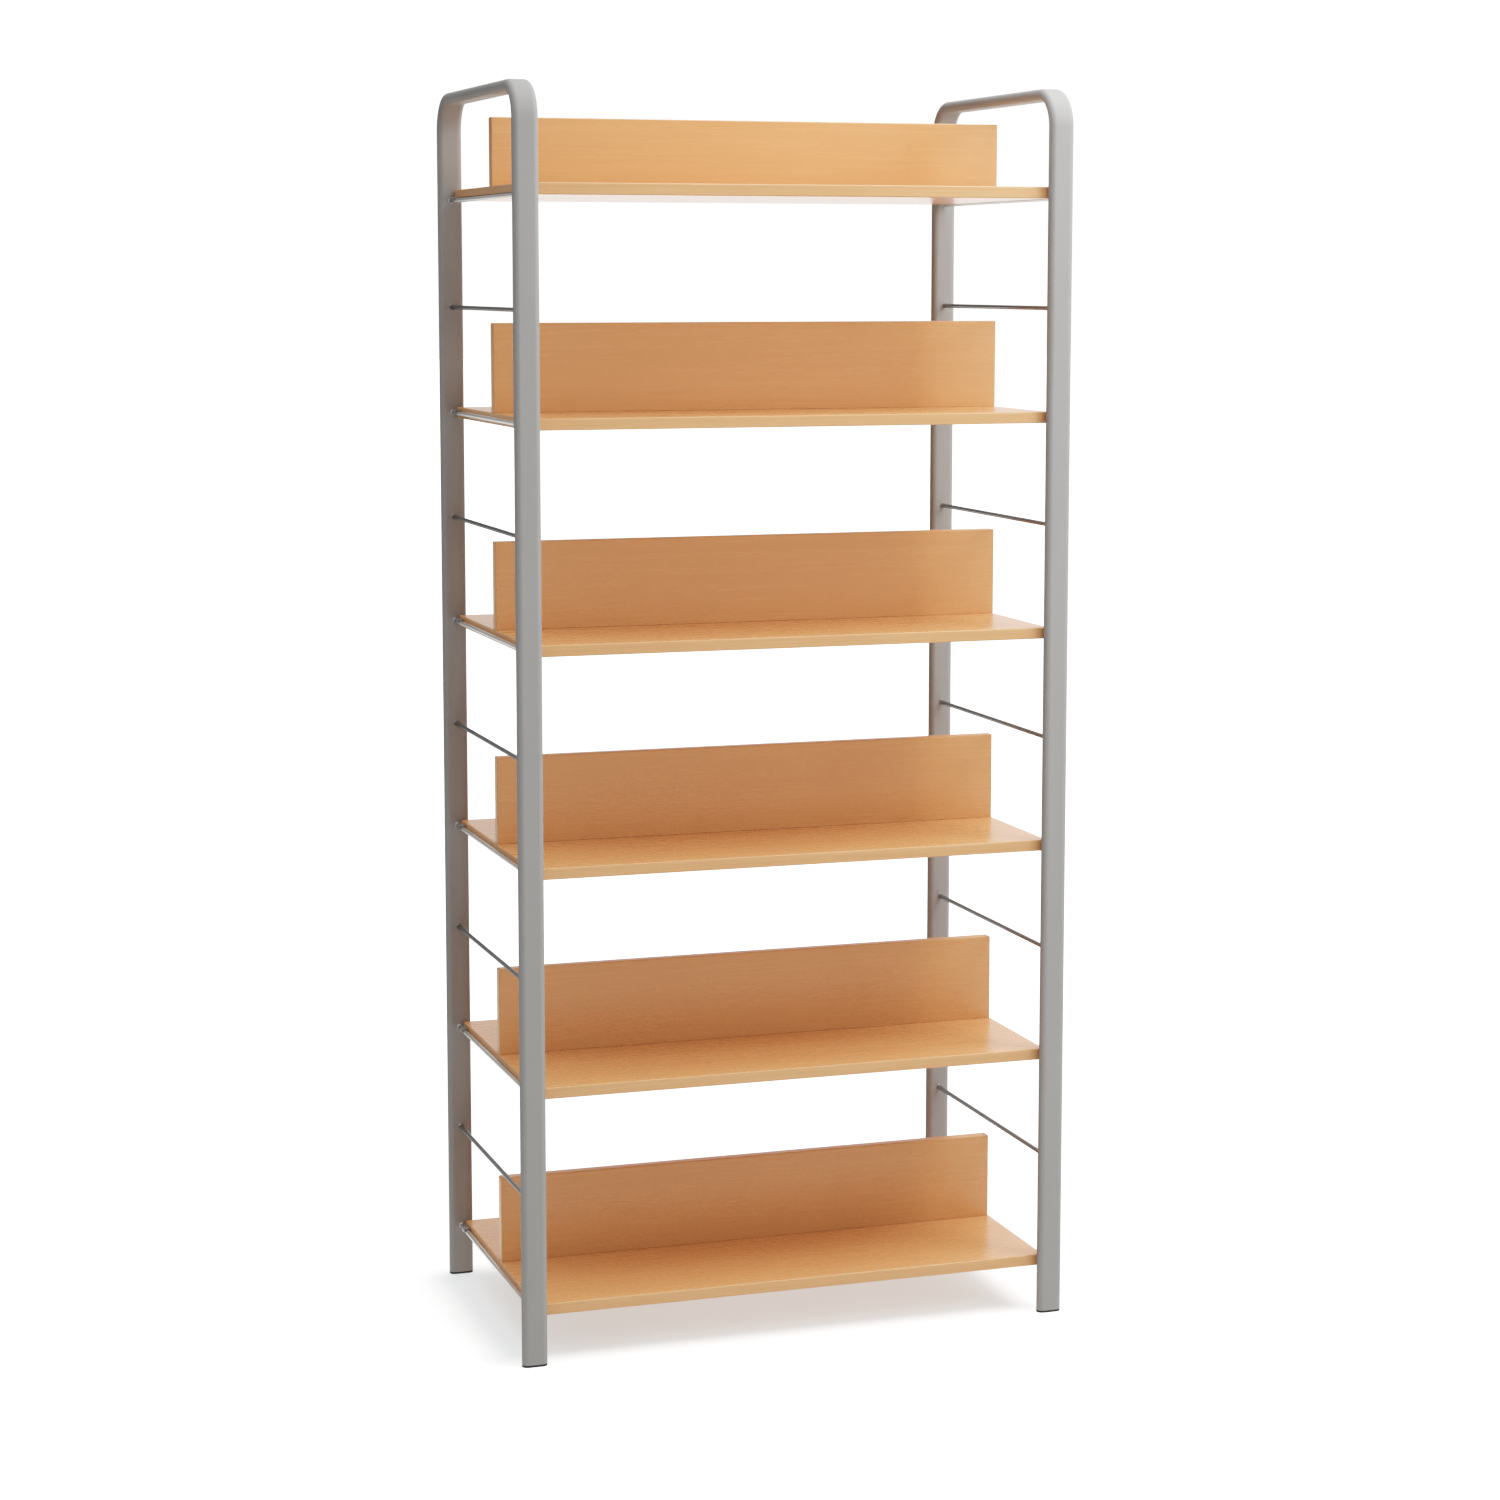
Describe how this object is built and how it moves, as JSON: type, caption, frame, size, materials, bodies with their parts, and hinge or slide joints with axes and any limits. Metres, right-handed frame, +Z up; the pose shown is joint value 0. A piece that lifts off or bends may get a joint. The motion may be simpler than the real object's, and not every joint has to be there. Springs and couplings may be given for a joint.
{
  "type": "double-sided bookcase",
  "caption": "Free-standing double-sided bookcase: flat-oval steel hoop frames with round rungs carry beech-laminate shelves that have a centre divider and are open front and back.",
  "frame": {"origin": "on the floor, under the centre of the four feet", "axes": "+Z up, +X along the shelves from the left frame to the right frame, -Y towards the front of the picture"},
  "size_m": [0.896, 0.514, 1.953],
  "materials": {
    "frame_paint": "satin silver-grey powder coat",
    "rung_paint": "satin silver-grey powder coat",
    "shelf_laminate": "satin beech laminate with matching edge band",
    "divider_laminate": "satin beech laminate with matching edge band",
    "tongue_plywood": "raw plywood",
    "hanger_zinc": "zinc plated",
    "foot_plastic": "moulded, dark grey"
  },
  "bodies": {
    "frame": {"left_hoop": "frame_paint", "left_rung_01": "rung_paint", "left_rung_02": "rung_paint", "left_rung_03": "rung_paint", "left_rung_04": "rung_paint", "left_rung_05": "rung_paint", "left_rung_06": "rung_paint", "left_rung_07": "rung_paint", "left_rung_08": "rung_paint", "left_rung_09": "rung_paint", "left_rung_10": "rung_paint", "left_rung_11": "rung_paint", "left_front_foot_plug": "foot_plastic", "left_back_foot_plug": "foot_plastic", "right_hoop": "frame_paint", "right_rung_01": "rung_paint", "right_rung_02": "rung_paint", "right_rung_03": "rung_paint", "right_rung_04": "rung_paint", "right_rung_05": "rung_paint", "right_rung_06": "rung_paint", "right_rung_07": "rung_paint", "right_rung_08": "rung_paint", "right_rung_09": "rung_paint", "right_rung_10": "rung_paint", "right_rung_11": "rung_paint", "right_front_foot_plug": "foot_plastic", "right_back_foot_plug": "foot_plastic", "shelf_1_board": "shelf_laminate", "shelf_1_divider": "divider_laminate", "shelf_1_tongue": "tongue_plywood", "shelf_1_left_hanger": "hanger_zinc", "shelf_1_right_hanger": "hanger_zinc", "shelf_6_board": "shelf_laminate", "shelf_6_divider": "divider_laminate", "shelf_6_tongue": "tongue_plywood", "shelf_6_left_hanger": "hanger_zinc", "shelf_6_right_hanger": "hanger_zinc"},
    "shelf_2": {"shelf_2_board": "shelf_laminate", "shelf_2_divider": "divider_laminate", "shelf_2_tongue": "tongue_plywood", "shelf_2_left_hanger": "hanger_zinc", "shelf_2_right_hanger": "hanger_zinc"},
    "shelf_3": {"shelf_3_board": "shelf_laminate", "shelf_3_divider": "divider_laminate", "shelf_3_tongue": "tongue_plywood", "shelf_3_left_hanger": "hanger_zinc", "shelf_3_right_hanger": "hanger_zinc"},
    "shelf_4": {"shelf_4_board": "shelf_laminate", "shelf_4_divider": "divider_laminate", "shelf_4_tongue": "tongue_plywood", "shelf_4_left_hanger": "hanger_zinc", "shelf_4_right_hanger": "hanger_zinc"},
    "shelf_5": {"shelf_5_board": "shelf_laminate", "shelf_5_divider": "divider_laminate", "shelf_5_tongue": "tongue_plywood", "shelf_5_left_hanger": "hanger_zinc", "shelf_5_right_hanger": "hanger_zinc"}
  },
  "joints": [
    {"name": "shelf_2_lift", "type": "slide", "parent": "frame", "child": "shelf_2", "axis": [0, 0, 1], "range_m": [0, 0.16]},
    {"name": "shelf_3_lift", "type": "slide", "parent": "frame", "child": "shelf_3", "axis": [0, 0, 1], "range_m": [0, 0.16]},
    {"name": "shelf_4_lift", "type": "slide", "parent": "frame", "child": "shelf_4", "axis": [0, 0, 1], "range_m": [0, 0.16]},
    {"name": "shelf_5_lift", "type": "slide", "parent": "frame", "child": "shelf_5", "axis": [0, 0, 1], "range_m": [0, 0.16]}
  ]
}
